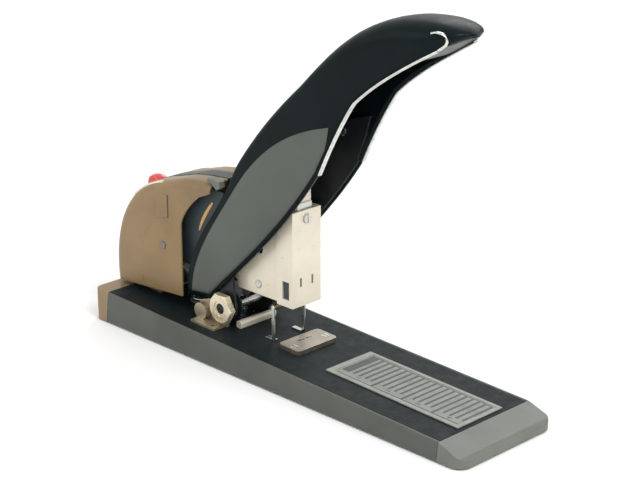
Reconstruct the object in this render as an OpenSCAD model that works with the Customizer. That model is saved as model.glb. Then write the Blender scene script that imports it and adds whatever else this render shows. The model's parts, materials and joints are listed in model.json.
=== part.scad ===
// Heavy-duty desktop stapler with a long base, a tilting head and a long lever handle.
// +X points to the front, where the paper goes in; +Y to the far side; +Z up.
// The origin is at the middle of the underside. All sizes are in millimetres.

/* [Base] */
// Length of the base
base_l = 330; // [320:1:340]
// Width of the base at the floor
base_w = 84; // [82:1:90]
// Height of the deck at the rear end
deck_rear = 21.9; // [21.5:0.1:22.3]
// Height of the deck at the front end
deck_front = 12.3; // [12:0.1:13]
// Length of the front end cap
front_cap_l = 19; // [16:1:22]
// Length of the rear end cap
rear_cap_l = 13; // [10:1:13]

/* [Lever handle] */
// Position of the handle's axle along the base
axle_x = -57; // [-57.5:0.1:-56.5]
// Height of the handle's axle
axle_z = 32; // [31.7:0.1:32.3]
// Radius of the handle's axle
axle_r = 3.5; // [3:0.1:3.8]
// Turn of the handle when it is pressed right down
press_turn = 28; // [26:1:28]
// Half the width of the handle
handle_half_w = 20; // [19.5:0.1:20]

/* [Head] */
// Position of the head's hinge pin along the base
hinge_x = -150; // [-151:0.1:-149]
// Height of the head's hinge pin
hinge_z = 30; // [30:0.1:30.5]
// Turn of the head when its nose reaches the anvil
head_turn = 8.8; // [8:0.1:8.8]
// Stroke of the ram that drives a staple
ram_stroke = 26; // [24:1:26]
// Half the width of the cover
cover_half_w = 23; // [22.5:0.1:24]
// Underside of the nose with the head up
nose_z = 44; // [44:0.1:46]

/* [Fits] */
// Radial clearance of pins that turn
run_fit = 0.05; // [0.02:0.01:0.08]
// Gap between parts that pass each other
air = 0.3; // [0.3:0.05:0.4]

/* [Hidden] */
$fn = 48;

axle = [axle_x, axle_z];
hinge = [hinge_x, hinge_z];
x_front = base_l / 2;
x_rear = -base_l / 2;
deck_slope = atan((deck_rear - deck_front) / base_l);
deck_mid = (deck_rear + deck_front) / 2;
foot_h = 2.5;
skirt_z = 0.8;
mat_t = 2.1;
mat_half_w = 38.4;
rail_in = 36;
deck_x0 = x_rear + rear_cap_l;
deck_x1 = x_front - front_cap_l;

// Stack of walls across the width, as distances from the middle plane
magazine_in = 6.5;
magazine_out = 7.7;
plate_in = 9.6;
plate_out = 11.1;
nose_out = 12.4;
bracket_in = 12.8;
bracket_out = 14;
neck_in = 14.3;
neck_out = 15.3;
arm_in = 15.8;
arm_out = 17.7;
ear_in = 18.05;
ear_out = 20.2;
nut_out = 24.6;
trim_in = 17.2;
cover_wall = 1.5;

// Magazine and nose
nose_front = -1.7;
nose_t = 1.5;
blade_t = 1;
blade_x = nose_front - nose_t - air - blade_t;
magazine_x1 = blade_x - air;
magazine_z = 50.3;
rail_top = 62.2;
magazine_top = 69;
nose_top = 107;
ram_x0 = -14;
ram_spring_x = -9.25;
roller_r = 5;
roller = [-7.5, 140];

function deck_z(x) = deck_mid - x * tan(deck_slope);
function bezier(a, b, c, d, n = 12) = [for (i = [0:n]) let (t = i / n, s = 1 - t)
    s * s * s * a + 3 * s * s * t * b + 3 * s * t * t * c + t * t * t * d];
function along(p, i) = let (d = p[min(i + 1, len(p) - 1)] - p[max(i - 1, 0)]) d / norm(d);
// A line moved sideways by d, to the right of its own direction
function shifted(p, d) = [for (i = [0:len(p) - 1]) p[i] + d * [along(p, i)[1], -along(p, i)[0]]];
// A list of points without the ones that repeat where two curves meet
function merged(p) = [for (i = [0:len(p) - 1]) if (i == 0 || norm(p[i] - p[i - 1]) > 0.01) p[i]];
function reversed(p) = [for (i = [len(p) - 1:-1:0]) p[i]];
// Turn a point about another, nose down for a positive angle
function turned(p, about, a) = let (v = p - about)
    about + [v[0] * cos(a) + v[1] * sin(a), v[1] * cos(a) - v[0] * sin(a)];

// Outline of the lever handle, seen from the side
back_low = bezier([-92.5, 31], [-94, 44], [-91, 56], [-81.5, 72], 8);
back_high = bezier([-81.5, 72], [-73, 87], [-55, 106], [-48, 125], 8);
ridge_low = bezier([-48, 125], [-42, 138], [-20, 166], [11, 194], 10);
ridge_high = bezier([11, 194], [32, 216], [55, 242.7], [97, 246], 12);
ridge_tip = bezier([97, 246], [110, 247.4], [124, 247.6], [131, 241.5], 8);
tip_nose = bezier([131, 241.5], [133.5, 239.5], [131, 237.5], [126, 238], 6);
rim_grip = bezier([126, 238], [113, 228.5], [80, 213], [56, 190.5], 12);
rim_neck = bezier([56, 190.5], [47, 178], [37, 160], [28, 141], 8);
rim_low = bezier([28, 141], [6, 109], [-26, 76], [-57, 48], 12);
handle_outline = merged(concat(back_low, back_high, ridge_low, ridge_high, ridge_tip, tip_nose,
    rim_grip, rim_neck, rim_low, [[-71, 34.5]]));
ridge = merged(concat(ridge_low, ridge_high, ridge_tip));
rim = merged(concat(rim_grip, rim_neck));

// Outline of the leaf-shaped side panels
leaf_back = bezier([-88.5, 35], [-88, 58], [-70, 82], [-51, 108], 10);
leaf_top = bezier([-51, 108], [-36, 129], [-14, 159], [37, 172], 12);
leaf_outline = merged(concat(leaf_back, leaf_top, [[34, 158], [27, 145]],
    shifted(rim_low, 2.5), [[-71, 37.3]]));

// Outline of the cover, set in by t from its outer surface
function cover_back(t) = bezier([-163.5 + t, 24], [-169 + t, 70], [-146 + 0.7 * t, 98 - 0.7 * t],
    [-113, 105 - t], 14);
cover_x1 = -95;
cover_top_z = 110;
cover_roof = [[-96, cover_top_z], [-80, cover_top_z + 2.4], [-67, cover_top_z + 3.4]];
cover_front = concat(bezier([-68, 109.5], [-78, 101.5], [-91, 92], [cover_x1, 80], 8), [[cover_x1, 29.6]]);
shroud_outline = [[-104, 50], [-74, 50], [-62, 100], [-62, 107], [-76, 108], [-104, 100]];
shroud_holds = [[-92, 78], [-76, 99]];
cover_screw = [-113, 61];
button_x = -143;
button_half_l = 6;
button_half_w = 4.8;

module both() {
    children();
    mirror([0, 1, 0]) children();
}
// A side view spread across the width from y0 to y1
module plate(y0, y1) {
    translate([0, y1, 0]) rotate([90, 0, 0]) linear_extrude(y1 - y0) children();
}
// A round bar across the width
module bar(p, r, y0, y1) {
    translate([p[0], y0, p[1]]) rotate([-90, 0, 0]) cylinder(r = r, h = y1 - y0);
}
module disc(p, r) {
    translate(p) circle(r);
}
// Places its children on the sloping deck, at the distance x from the middle
module on_deck(x = 0, y = 0) {
    translate([0, 0, deck_mid]) rotate([0, deck_slope, 0]) translate([x, y, 0]) children();
}
// Everything under the top of the deck, for trimming the feet of what stands on it
module below_deck() {
    on_deck() translate([-200, -60, -40]) cube([400, 120, 40]);
}
// A flat rounded bar between two points, seen from the side
module strap(a, b, r) {
    d = b - a;
    disc(a, r);
    disc(b, r);
    translate(a) rotate(atan2(d[1], d[0])) translate([0, -r]) square([norm(d), 2 * r]);
}
module screw_head(r, h) {
    difference() {
        cylinder(r = r, h = h);
        translate([-r, -0.4, h - 0.6]) cube([2 * r, 0.8, 1]);
    }
}

// ---- Base ----
// The whole base as one wedge with drafted sides and rounded ends
module base_wedge() {
    intersection() {
        plate(-base_w, base_w) polygon([[x_rear, skirt_z], [x_front, skirt_z], [x_front, 5],
            [x_front - 3, 7.2], [deck_x1, deck_z(deck_x1)], [x_rear, deck_z(x_rear)]]);
        translate([x_rear, 0, 0]) rotate([90, 0, 90]) linear_extrude(base_l)
            polygon([[-base_w / 2, 0], [base_w / 2, 0], [base_w / 2 - 2.5, 24], [2.5 - base_w / 2, 24]]);
        linear_extrude(30) rounded_plan(9, 7);
    }
}
module rounded_plan(front_r, rear_r) {
    w = base_w / 2;
    translate([x_rear + rear_r, -w]) square([base_l - front_r - rear_r, 2 * w]);
    translate([0, front_r - w]) square([x_front, 2 * (w - front_r)]);
    translate([x_rear, rear_r - w]) square([-x_rear, 2 * (w - rear_r)]);
    for (s = [-1, 1]) {
        translate([x_front - front_r, s * (w - front_r)]) circle(front_r);
        translate([x_rear + rear_r, s * (w - rear_r)]) circle(rear_r);
    }
}
module side_rail() {
    difference() {
        intersection() {
            base_wedge();
            translate([deck_x0, rail_in, 0]) cube([deck_x1 - deck_x0, 20, 30]);
        }
        on_deck() translate([-200, 0, -mat_t]) cube([400, mat_half_w + 0.05, 10]);
    }
}
module side_rail_near() {
    color([0.42, 0.44, 0.41]) mirror([0, 1, 0]) side_rail();
}
module side_rail_far() {
    color([0.42, 0.44, 0.41]) side_rail();
}
module front_end_cap() {
    color([0.52, 0.53, 0.5]) intersection() {
        base_wedge();
        translate([deck_x1, -60, 0]) cube([60, 120, 30]);
    }
}
module rear_end_cap() {
    color([0.55, 0.43, 0.28]) intersection() {
        base_wedge();
        translate([deck_x0 - 60, -60, 0]) cube([60, 120, 30]);
    }
}
module deck_plate() {
    color([0.5, 0.5, 0.5]) on_deck(0, 0) difference() {
        translate([deck_x0, -rail_in, -mat_t - 2.5]) cube([deck_x1 - deck_x0, 2 * rail_in, 2.5]);
        for (p = bracket_holes) translate([p[0], p[1], -10]) cylinder(r = 1.55, h = 20);
    }
}
module deck_mat() {
    color([0.1, 0.12, 0.13]) on_deck(0, 0) difference() {
        translate([deck_x0, -mat_half_w, -mat_t]) cube([deck_x1 - deck_x0, 2 * mat_half_w, mat_t]);
        for (p = bracket_holes) translate([p[0], p[1], -10]) cylinder(r = 1.55, h = 20);
    }
}
foot_places = [for (x = [-138, 0, 138], s = [-1, 1]) [x, s * 27]];
module bottom_plate() {
    color([0.35, 0.35, 0.35]) difference() {
        translate([deck_x0, -rail_in, foot_h]) cube([deck_x1 - deck_x0, 2 * rail_in, 1.2]);
        for (p = foot_places) translate([p[0], p[1], 0]) cylinder(r = 1.5, h = 20);
    }
}
module rubber_feet() {
    color([0.08, 0.08, 0.08]) for (p = foot_places) translate([p[0], p[1], 0]) difference() {
        cylinder(r = 7, h = foot_h);
        translate([0, 0, -1]) cylinder(r = 3.2, h = 2.2);
        cylinder(r = 1.5, h = 9);
    }
}
module base_screws() {
    color([0.7, 0.7, 0.7]) for (p = foot_places) translate([p[0], p[1], 0.4]) {
        cylinder(r = 2.8, h = 0.8);
        cylinder(r = 1.45, h = 4.2);
    }
}

// ---- Parts that stand on the deck ----
anvil_x = [-10, 8.6];
anvil_l = anvil_x[1] - anvil_x[0];
anvil_half = 17.5;
anvil_t = 3;
module anvil_plate() {
    r = 3;
    color([0.72, 0.68, 0.6]) on_deck() difference() {
        linear_extrude(anvil_t) union() {
            translate([anvil_x[0] + r, -anvil_half]) square([anvil_l - 2 * r, 2 * anvil_half]);
            translate([anvil_x[0], r - anvil_half]) square([anvil_l, 2 * (anvil_half - r)]);
            for (x = [anvil_x[0] + r, anvil_x[1] - r], s = [-1, 1])
                translate([x, s * (anvil_half - r)]) circle(r);
        }
        for (s = [-1, 1]) translate([-3.6, s * 3.2, anvil_t + 4.4]) rotate([0, 90, 0])
            cylinder(r = 5.1, h = 1.6, center = true);
        for (s = [-1, 1]) translate([1, s * 13.5, -1]) cylinder(r = 1.55, h = 9);
        for (s = [-1, 1]) translate([1, s * 13.5, anvil_t - 1.2]) cylinder(r = 2.8, h = 9);
    }
}
module anvil_screws() {
    color([0.6, 0.6, 0.6]) on_deck() for (s = [-1, 1]) translate([1, s * 13.5, 0]) {
        cylinder(r = 1.5, h = anvil_t - 1.1);
        translate([0, 0, anvil_t - 1.2]) screw_head(2.7, 1.2);
    }
}
scale_x = [35, 143];
scale_half = 20;
module scale_plate() {
    pitch = 5;
    color([0.55, 0.56, 0.54]) on_deck() difference() {
        translate([scale_x[0], -scale_half, 0]) cube([scale_x[1] - scale_x[0], 2 * scale_half, 1]);
        for (i = [0:19]) translate([scale_x[0] + 6 + i * pitch, 4 - scale_half, 0.7])
            cube([1.2, i % 5 == 0 ? 32 : 22, 1]);
    }
}
post_x1 = -17;
module guide_posts() {
    color([0.72, 0.7, 0.66]) difference() {
        union() {
            both() on_deck() translate([post_x1 - 9, bracket_in - 3, -1]) cube([8, 3.4, 2]);
            both() plate(bracket_in, bracket_out) polygon([[post_x1 - 2.5, 10], [post_x1, 10],
                [post_x1, 41], [post_x1 - 0.8, 42], [post_x1 - 2.5, 42]]);
        }
        below_deck();
    }
}
bar_x = -48.5;
module stop_bar() {
    color([0.82, 0.76, 0.66]) on_deck(bar_x) intersection() {
        translate([-2.5, -15.5, 0]) cube([5, 31, 6]);
        translate([0, 0, 2.2]) rotate([90, 0, 0]) cylinder(r = 2.9, h = 31, center = true);
    }
}
bracket_holes = [for (x = [-67, -56.5], s = [-1, 1]) [x, s * 6]];
module main_bracket() {
    color([0.1, 0.1, 0.11]) difference() {
        union() {
            on_deck() translate([-70, -bracket_in - 0.5, -1]) cube([17, 2 * bracket_in + 1, 2.5]);
            both() plate(bracket_in, bracket_out) {
                disc(axle, 10);
                polygon([[-71, 10], [-56, 10], axle + [7.5, -1], axle + [-9, -1]]);
            }
        }
        bar(axle, axle_r + 0.02, -30, 30);
        on_deck() for (p = bracket_holes) translate([p[0], p[1], -10]) cylinder(r = 1.55, h = 20);
        below_deck();
    }
}
module bracket_screws() {
    color([0.6, 0.6, 0.6]) on_deck() for (p = bracket_holes) translate([p[0], p[1], 0]) {
        translate([0, 0, -mat_t - 2.5]) cylinder(r = 1.5, h = mat_t + 4);
        translate([0, 0, 1.5]) screw_head(2.7, 1.4);
    }
}
// A light ear outside each arm; it holds the axle's end and stops the axle turning
module pivot_ear() {
    heel = [-75, 25.8];
    difference() {
        union() {
            plate(ear_in, ear_out) {
                strap(heel, axle + [-2, -1], 6.6);
                polygon([[-79, 10], [-55, 10], [-55, 26], [-79, 26]]);
            }
            on_deck() translate([-78, ear_in + 1, -1]) cube([22, 12, 2.6]);
            plate(ear_out - 0.5, nut_out + 0.6) disc(heel, 5.6);
        }
        bar(axle, axle_r + 0.02, 0, 40);
        below_deck();
        on_deck() translate([-60.5, 27.5, -10]) cylinder(r = 1.5, h = 20);
    }
}
module pivot_ear_near() {
    color([0.66, 0.58, 0.42]) mirror([0, 1, 0]) pivot_ear();
}
module pivot_ear_far() {
    color([0.66, 0.58, 0.42]) pivot_ear();
}
module main_axle() {
    color([0.6, 0.6, 0.62]) bar(axle, axle_r, -nut_out + 1, nut_out - 1);
}
module axle_nut() {
    nut_r = 10.6;
    difference() {
        intersection() {
            bar_hex(axle, nut_r, ear_out, nut_out);
            translate([axle_x, ear_out, axle_z]) rotate([-90, 0, 0]) rotate_extrude()
                polygon([[0, 0], [nut_r, 0], [nut_r, 3.2], [nut_r - 1.4, nut_out - ear_out],
                    [0, nut_out - ear_out]]);
        }
        bar(axle, axle_r + 0.02, 0, 40);
        bar(axle, 5.2, nut_out - 0.7, 40);
    }
}
module bar_hex(p, r, y0, y1) {
    translate([p[0], y0, p[1]]) rotate([-90, 0, 0]) cylinder(r = r, h = y1 - y0, $fn = 6);
}
module axle_nut_near() {
    color([0.8, 0.74, 0.58]) mirror([0, 1, 0]) axle_nut();
}
module axle_nut_far() {
    color([0.8, 0.74, 0.58]) axle_nut();
}
// Torsion spring round the axle, between the bracket and the arm: two rings, a link and two legs
module handle_spring() {
    wire = 0.42;
    pitch = 0.9;
    coil_r = axle_r + 1.6;
    y0 = bracket_out + 0.45;
    for (i = [0, 1]) translate([axle_x, y0 + i * pitch, axle_z]) rotate([90, 0, 0])
        rotate_extrude() translate([coil_r, 0]) circle(wire);
    translate([axle_x + coil_r, y0, axle_z]) rotate([-90, 0, 0]) cylinder(r = 0.9 * wire, h = pitch);
    translate([axle_x, y0, axle_z - coil_r - 5]) cylinder(r = 0.9 * wire, h = 5);
    translate([axle_x, y0 + pitch, axle_z + coil_r]) cylinder(r = 0.9 * wire, h = 8);
}
module handle_spring_near() {
    color([0.7, 0.7, 0.72]) mirror([0, 1, 0]) handle_spring();
}
module handle_spring_far() {
    color([0.7, 0.7, 0.72]) handle_spring();
}
pin_r = 3;
hinge_half = 14.4;
module rear_hinge_bracket() {
    color([0.2, 0.2, 0.21]) difference() {
        union() {
            on_deck() translate([-150, -bracket_in - 0.5, -1]) cube([22, 2 * bracket_in + 1, 2.2]);
            both() plate(bracket_in, hinge_half) {
                disc(hinge, 6.8);
                polygon([[-151, 10], [-127, 10], [-127, 23], [-145, 34], [-151, 30]]);
            }
        }
        bar(hinge, pin_r + 0.02, -30, 30);
        below_deck();
    }
}
module head_pivot_pin() {
    color([0.6, 0.6, 0.62]) {
        bar(hinge, pin_r, -hinge_half, hinge_half);
        bar(hinge, pin_r + 1.5, hinge_half, hinge_half + 1.2);
        bar(hinge, pin_r + 1.5, -hinge_half - 1.2, -hinge_half);
    }
}
lift_spring_x = -100;
seat_z = 43.4;
module spring_cup() {
    color([0.3, 0.3, 0.31]) on_deck(lift_spring_x) {
        cylinder(r = 9, h = 1);
        cylinder(r = 5.8, h = 3);
    }
}
module spring_seat() {
    color([0.62, 0.6, 0.56]) difference() {
        translate([lift_spring_x - 10, -plate_in, seat_z]) cube([20, 2 * plate_in, 2]);
        translate([lift_spring_x, 0, 0]) cylinder(r = 2.5, h = 60);
    }
}
module head_lift_spring() {
    z0 = deck_z(lift_spring_x) + 1.3;
    color([0.7, 0.7, 0.72]) ring_stack([lift_spring_x, z0], seat_z - 0.05, 7, 0.8, 5);
}
// A coil spring shown as a stack of rings on a thin guide wire
module ring_stack(p, z1, coil_r, wire, turns) {
    pitch = (z1 - p[1] - 2 * wire) / turns;
    for (i = [0:turns]) translate([p[0], 0, p[1] + wire + i * pitch])
        rotate_extrude() translate([coil_r, 0]) circle(wire, $fn = 16);
    translate([p[0] + coil_r, 0, p[1] + wire]) cylinder(r = wire * 0.9, h = turns * pitch, $fn = 16);
}

// ---- Head ----
// Where the axle comes to, as the pressed head sees it
axle_in_head = turned(axle, hinge, -head_turn);
rivet_places = [[-31, 76], [-34, 52], [-84, 60], [-130, 70], [-106, 52]];
module head_plate() {
    plate(plate_in, plate_out) difference() {
        union() {
            polygon([[-158, 44], [-16, 45], [-3.3, nose_z + 0.3], [-3.3, nose_top - 1], [-18, nose_top - 1],
                [-40, 100], [-60, 103], [-100, 104], [-122, 99], [-143, 84], [-155, 66]]);
            disc(hinge, 6.8);
            polygon([[-155.5, 28], [-156.5, 47], [-128, 47], [-144.5, 28]]);
        }
        disc(hinge, pin_r + run_fit);
        disc(axle_in_head, 5.2);
        translate(axle_in_head) polygon([[-5, -0.5], [-7, -12], [7, -12], [5, -0.5]]);
        for (p = rivet_places) disc(p, 1.52);
    }
}
module head_plate_near() {
    color([0.86, 0.82, 0.74]) mirror([0, 1, 0]) head_plate();
}
module head_plate_far() {
    color([0.86, 0.82, 0.74]) head_plate();
}
module nose_plate() {
    color([0.87, 0.83, 0.75]) difference() {
        union() {
            translate([nose_front - nose_t, -nose_out, nose_z])
                cube([nose_t, 2 * nose_out, nose_top - nose_z]);
            both() plate(plate_out + 0.05, nose_out)
                polygon([[-16, nose_z], [nose_front - 1, nose_z], [nose_front - 1, nose_top], [-12, nose_top],
                    [-16, nose_top - 5]]);
        }
        both() plate(plate_out - 1, nose_out + 2) translate([-11, 48.7]) square([6, 12]);
        for (s = [-1, 1]) translate([nose_front - 3, s * 5 - 0.8, 57]) cube([6, 1.6, 6]);
        translate([nose_front - 5, 0, nose_top - 5.5]) rotate([0, 90, 0]) cylinder(r = 1.55, h = 9);
    }
}
module nose_screw() {
    color([0.5, 0.5, 0.52]) translate([nose_front - nose_t, 0, nose_top - 5.5]) rotate([0, 90, 0]) {
        cylinder(r = 1.5, h = nose_t);
        translate([0, 0, nose_t]) screw_head(3, 1.3);
    }
}
module magazine_channel() {
    color([0.75, 0.74, 0.7]) difference() {
        translate([-140, -magazine_out, magazine_z]) cube([140 + magazine_x1, 2 * magazine_out,
            magazine_top - magazine_z]);
        translate([-150, -magazine_in, magazine_z + 1.2]) cube([170, 2 * magazine_in, 30]);
    }
}
rail_half = 4.9;
module staple_rail() {
    color([0.6, 0.6, 0.6]) translate([-139, -rail_half, magazine_z + 1.2])
        cube([139 + magazine_x1, 2 * rail_half, rail_top - magazine_z - 1.2]);
}
spacer_places = [[-84, 60], [-130, 70]];
module head_spacers() {
    color([0.5, 0.5, 0.5]) both() for (p = spacer_places) translate([p[0], magazine_out, p[1]])
        rotate([-90, 0, 0]) difference() {
            cylinder(r = 4, h = plate_in - magazine_out);
            translate([0, 0, -1]) cylinder(r = 1.52, h = 9);
        }
    color([0.5, 0.5, 0.5]) both() for (p = shroud_holds) bar(p, 2.5, plate_out, neck_in);
}
module head_rivets() {
    color([0.62, 0.6, 0.55]) both() for (p = rivet_places) {
        bar(p, 1.5, magazine_out + 0.1, plate_out);
        bar(p, 2.6, plate_out, plate_out + 0.9);
    }
}
// Two guide bars on a cross plate that carries the ram's return spring
module ram_guides() {
    guide_in = 6.9;
    color([0.45, 0.45, 0.46]) {
        both() translate([-15, guide_in, magazine_top])
            cube([15 + magazine_x1, plate_in - guide_in, nose_top - 3 - magazine_top]);
        translate([-15, -guide_in - 1, magazine_top]) cube([15 + magazine_x1, 2 * guide_in + 2, 1.2]);
    }
}
module cover_half() {
    w = cover_wall;
    difference() {
        plate(6, cover_half_w) polygon(concat(cover_back(0), cover_roof, cover_front));
        plate(0, cover_half_w - w) polygon(concat(cover_back(w), [for (p = cover_roof) p - [w, w]],
            [for (p = cover_front) p - [w, 0.7 * w]], [[cover_x1 - w, 20], [-162, 20]]));
        plate(0, neck_out + 0.1) polygon([[-106, 20], [-50, 20], [-50, cover_top_z],
            [-80, cover_top_z], [-106, cover_top_z - 6]]);
        plate(0, 40) disc(cover_screw, 1.52);
    }
}
module cover_near() {
    color([0.56, 0.45, 0.3]) mirror([0, 1, 0]) cover_half();
}
module cover_far() {
    color([0.56, 0.45, 0.3]) cover_half();
}
// A dark cheek that closes the head where the arms swing past
module shroud() {
    plate(neck_in, neck_out) polygon(shroud_outline);
}
module shroud_near() {
    color([0.24, 0.28, 0.3]) mirror([0, 1, 0]) shroud();
}
module shroud_far() {
    color([0.24, 0.28, 0.3]) shroud();
}
module cover_spine() {
    outer = concat(cover_back(-0.4), [for (p = cover_roof) p + [0, 0.4]]);
    inner = concat(cover_back(1.6), [for (p = cover_roof) p - [0, 1.6]]);
    color([0.09, 0.09, 0.1]) difference() {
        plate(-5.9, 5.9) polygon(concat(outer, reversed(inner)));
        translate([button_x - button_half_l - air, -button_half_w - air, 70])
            cube([2 * (button_half_l + air), 2 * (button_half_w + air), 40]);
    }
}
module cover_screws() {
    color([0.45, 0.42, 0.38]) both() {
        bar(cover_screw, 1.5, plate_out, cover_half_w);
        bar(cover_screw, 2.6, cover_half_w, cover_half_w + 0.8);
    }
}
// Two pads that the back of the handle rests on
module handle_stop() {
    color([0.6, 0.6, 0.58]) both() plate(neck_out + 0.4, cover_half_w - 2)
        polygon([[-71, 113.75], [-67.5, 114], [-62, 110], [-59, 112], [-60, 116], [-70, 117]]);
}

// ---- Ram, inside the head ----
module ram_block() {
    fork_in = 4.3;
    color([0.8, 0.74, 0.62]) difference() {
        union() {
            plate(-6.5, 6.5) polygon([[ram_x0, 100], [blade_x, 100], [blade_x, 128], [-3.6, 132], [-3.6, 138],
                [-11.4, 138], [-11.4, 132], [ram_x0, 128]]);
            plate(-6.5, 6.5) disc(roller, 4.3);
        }
        plate(-fork_in, fork_in) {
            disc(roller, roller_r + 1);
            translate(roller - [roller_r + 1, 0]) square([2 * roller_r + 2, 20]);
        }
        bar(roller, 1.8 + 0.02, -9, 9);
        translate([ram_spring_x, 0, 99]) cylinder(r = 4.1, h = 6);
    }
}
module driver_blade() {
    color([0.66, 0.66, 0.68]) translate([blade_x, -6.2, magazine_top + 1.3])
        cube([blade_t, 12.4, 110 - magazine_top]);
}
module roller_pin() {
    color([0.66, 0.66, 0.68]) bar(roller, 1.8, -6.5, 6.5);
}
module ram_spring() {
    color([0.7, 0.7, 0.72]) ring_stack([ram_spring_x, magazine_top + 1.25], 104.9, 3.25, 0.55, 7);
}
module ram_roller() {
    color([0.55, 0.55, 0.57]) difference() {
        bar(roller, roller_r, -4, 4);
        bar(roller, 1.8 + run_fit, -9, 9);
    }
}

// ---- Follower and release button ----
module follower_block() {
    x1 = magazine_x1 - 1.5;
    color([0.25, 0.25, 0.26]) difference() {
        translate([x1 - 24, -magazine_in + air, magazine_z + 1.5]) cube([24, 2 * (magazine_in - air), 15.5]);
        translate([x1 - 30, -rail_half - air, 0]) cube([40, 2 * (rail_half + air), rail_top + air]);
        translate([x1 - 30, -3, 65.5]) cube([22, 6, 9]);
    }
}
module release_button() {
    color([0.75, 0.12, 0.1]) intersection() {
        translate([button_x - button_half_l, -button_half_w, 78])
            cube([2 * button_half_l, 2 * button_half_w, 22]);
        translate([button_x, 0, 85.6]) rotate([90, 0, 0]) cylinder(r = 12.4, h = 20, center = true);
    }
}

// ---- Lever handle ----
shell_wall = 2.2;
module handle_shell() {
    wall = shell_wall;
    web = shifted(ridge, 2.6);
    cavity = concat([web[1] + [-8, 3]], [for (i = [1:len(web) - 1]) if (web[i][0] < 113) web[i]],
        [[114, 225], [114, 10], [-130, 10], [-130, 120]]);
    color([0.07, 0.08, 0.09]) difference() {
        plate(-handle_half_w, handle_half_w) polygon(handle_outline);
        plate(wall - handle_half_w, handle_half_w - wall) polygon(cavity);
    }
}
// A bright trim along the lower edge of the grip
module rim_trim() {
    edge = [for (i = [3:len(rim) - 1]) rim[i]];
    color([0.75, 0.75, 0.73]) both() plate(trim_in, handle_half_w)
        polygon(concat(shifted(edge, -0.05), reversed(shifted(edge, -1.6))));
}
module arm() {
    shape = merged(concat([[-87, 32.5]], leaf_back, leaf_top, [[33, 158], [27, 144]], shifted(rim_low, 1),
        [[-70, 35.6]]));
    plate(arm_in, arm_out) difference() {
        union() {
            polygon(shape);
            disc(axle, 8.5);
            polygon([axle + [-8, 0.5], axle + [8, 1.5], [-52, 56], [-73, 40]]);
        }
        disc(axle, axle_r + run_fit);
        for (p = arm_rivets) disc(p, 2.02);
    }
}
module arm_near() {
    color([0.12, 0.13, 0.14]) mirror([0, 1, 0]) arm();
}
module arm_far() {
    color([0.12, 0.13, 0.14]) arm();
}
module leaf_panel() {
    plate(handle_half_w, handle_half_w + 1.2) polygon(leaf_outline);
}
module leaf_panel_near() {
    color([0.4, 0.41, 0.4]) mirror([0, 1, 0]) leaf_panel();
}
module leaf_panel_far() {
    color([0.4, 0.41, 0.4]) leaf_panel();
}
// Centre of the roller in the handle's own frame, as the handle goes down by t from 0 to 1
function roller_path(t) = turned(turned(roller - [0, t * ram_stroke], hinge, t * head_turn), axle,
    -t * press_turn);
module cam_plate() {
    steps = 16;
    path = [for (i = [-2:steps + 2]) roller_path(i / steps)];
    face = shifted(path, roller_r + air);
    top = shifted(ridge, 2.65);
    color([0.5, 0.5, 0.52]) plate(-3, 3) polygon(concat(face, [for (i = [2:13]) top[i]]));
}
arm_rivets = [[-10, 140], [14, 158], [-30, 116]];
module handle_rivets() {
    color([0.6, 0.6, 0.6]) both() for (p = arm_rivets) {
        bar(p, 2, arm_in, handle_half_w - shell_wall);
        bar(p, 3, arm_in - 0.8, arm_in);
    }
}

side_rail_near();
side_rail_far();
front_end_cap();
rear_end_cap();
deck_plate();
deck_mat();
bottom_plate();
rubber_feet();
base_screws();
anvil_plate();
anvil_screws();
scale_plate();
guide_posts();
stop_bar();
main_bracket();
bracket_screws();
pivot_ear_near();
pivot_ear_far();
main_axle();
axle_nut_near();
axle_nut_far();
handle_spring_near();
handle_spring_far();
rear_hinge_bracket();
head_pivot_pin();
spring_cup();
head_lift_spring();
head_plate_near();
head_plate_far();
nose_plate();
nose_screw();
magazine_channel();
staple_rail();
spring_seat();
head_spacers();
head_rivets();
ram_guides();
cover_near();
cover_far();
shroud_near();
shroud_far();
cover_spine();
cover_screws();
handle_stop();
ram_block();
driver_blade();
roller_pin();
ram_spring();
ram_roller();
follower_block();
release_button();
handle_shell();
rim_trim();
arm_near();
arm_far();
leaf_panel_near();
leaf_panel_far();
cam_plate();
handle_rivets();
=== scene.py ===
"""Looks of the long-base desktop stapler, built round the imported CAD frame.

Lengths are in millimetres and turned into metres by MM where a mesh is made.
+X is the front, where the paper goes in; -Y is the near side; +Z is up.
"""

import json
import math

import bmesh
import bpy
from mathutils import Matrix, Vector


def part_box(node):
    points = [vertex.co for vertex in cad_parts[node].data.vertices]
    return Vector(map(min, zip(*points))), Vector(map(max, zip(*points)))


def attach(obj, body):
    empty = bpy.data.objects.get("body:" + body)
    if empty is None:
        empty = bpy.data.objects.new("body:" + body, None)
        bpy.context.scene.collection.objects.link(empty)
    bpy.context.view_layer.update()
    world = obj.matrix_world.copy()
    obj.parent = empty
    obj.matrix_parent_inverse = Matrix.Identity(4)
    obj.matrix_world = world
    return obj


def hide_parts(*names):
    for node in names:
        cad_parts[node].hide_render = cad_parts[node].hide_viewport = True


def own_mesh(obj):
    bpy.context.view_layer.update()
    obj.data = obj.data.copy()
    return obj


MM = 0.001
SIDES = {"near": -1, "far": 1}
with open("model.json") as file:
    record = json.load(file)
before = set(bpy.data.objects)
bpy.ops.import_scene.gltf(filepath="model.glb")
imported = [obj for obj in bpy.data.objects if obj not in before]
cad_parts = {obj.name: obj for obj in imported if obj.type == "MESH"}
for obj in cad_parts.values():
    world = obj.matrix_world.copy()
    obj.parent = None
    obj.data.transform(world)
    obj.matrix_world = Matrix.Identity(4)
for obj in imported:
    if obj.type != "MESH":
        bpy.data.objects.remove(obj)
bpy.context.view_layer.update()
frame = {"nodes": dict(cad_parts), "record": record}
SLOT_OF = {s["node"]: s["material_slot"] for s in frame["record"]["subparts"]}


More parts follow.
